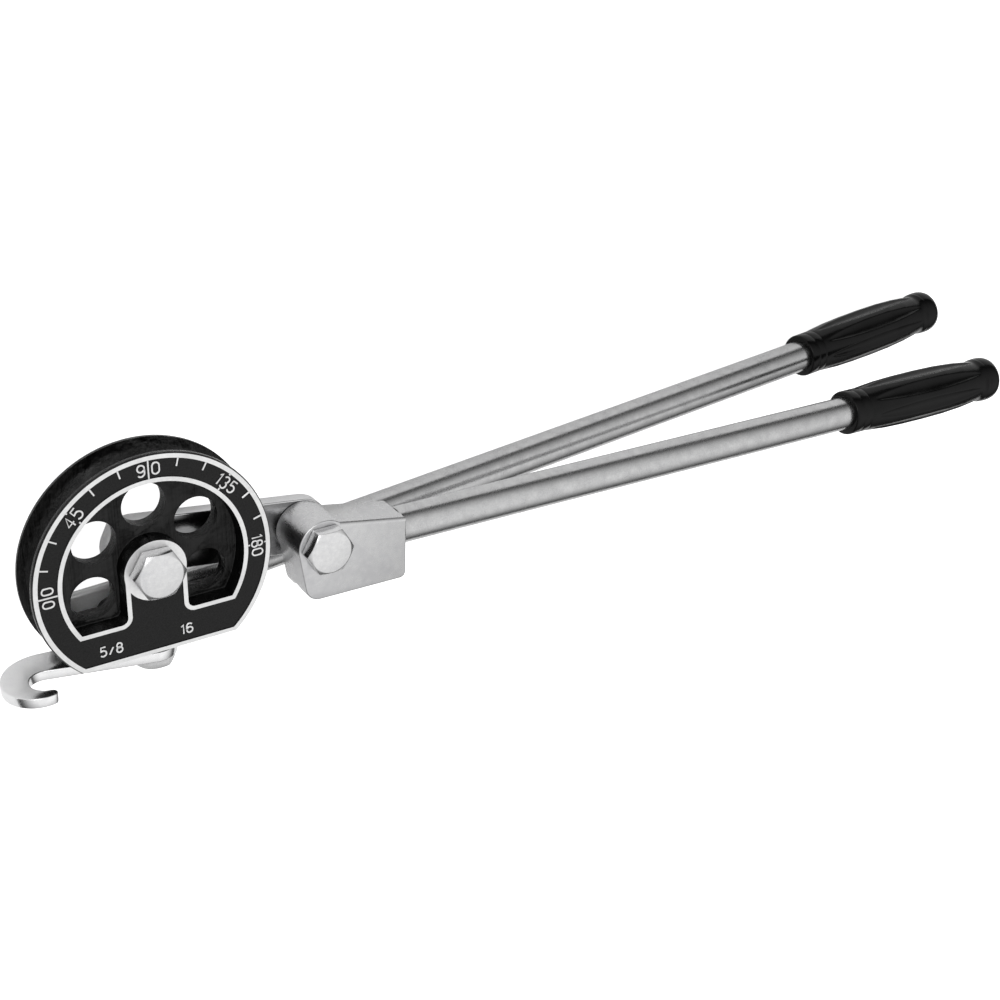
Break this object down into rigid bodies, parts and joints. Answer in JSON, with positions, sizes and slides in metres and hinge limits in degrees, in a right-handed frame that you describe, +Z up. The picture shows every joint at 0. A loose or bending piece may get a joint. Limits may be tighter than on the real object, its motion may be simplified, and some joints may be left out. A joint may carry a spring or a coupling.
{
  "type": "lever tube bender",
  "caption": "Hand lever bender for 16 mm tube: grooved forming wheel with degree marks, grooved shoe on a swinging link, tube hook, and two long handles with rubber grips.",
  "frame": {"origin": "middle of the footprint on the bench, with the tool lying at rest on the centre bolt end, the outer handle screw and the wheel handle grip", "axes": "+X along the handles towards the grips, +Z up, -Y towards the side where the hook sits"},
  "size_m": [0.6588, 0.1116, 0.1056],
  "materials": {
    "painted_casting": "semi-gloss black paint on a casting, raised lines bare and polished",
    "zinc_bolt": "bright zinc-plated steel, slightly worn",
    "satin_tube": "satin steel tube, finely speckled",
    "plated_block": "bright plated casting, satin with soft pits",
    "polished_link": "smooth rolled flat bar, lightly polished",
    "bronze": "turned sintered bronze",
    "black_rubber": "moulded black rubber, satin"
  },
  "bodies": {
    "wheel": {"forming_wheel": "painted_casting", "centre_bolt": "zinc_bolt", "thrust_washer": "zinc_bolt", "back_washer": "zinc_bolt", "centre_nut": "zinc_bolt", "handle_washer_outer": "zinc_bolt", "handle_screw_outer": "zinc_bolt", "handle_washer_inner": "zinc_bolt", "handle_screw_inner": "zinc_bolt", "wheel_handle_tube": "satin_tube", "wheel_handle_grip": "black_rubber", "hook_bolt": "zinc_bolt"},
    "link": {"link_bar": "polished_link", "link_bush": "bronze", "pivot_bolt": "zinc_bolt"},
    "shoe_handle": {"shoe_block": "plated_block", "pivot_bush": "bronze", "tube_pin": "zinc_bolt", "shoe_handle_tube": "satin_tube", "shoe_handle_grip": "black_rubber"},
    "hook": {"hook": "plated_block"}
  },
  "joints": [
    {"name": "link_swing", "type": "hinge", "parent": "wheel", "child": "link", "pos_m": [-0.25363, -0.00225, 0.02181], "axis": [-0.0962, 0, 0.9954], "range_deg": [-4.5, 193]},
    {"name": "handle_pivot", "type": "hinge", "parent": "link", "child": "shoe_handle", "pos_m": [-0.16937, -0.01376, 0.04648], "axis": [-0.0962, 0, 0.9954], "range_deg": [-102, 60]},
    {"name": "hook_swing", "type": "hinge", "parent": "wheel", "child": "hook", "pos_m": [-0.25535, -0.04815, 0.03963], "axis": [0, 1, 0], "range_deg": [-8, 95]}
  ]
}
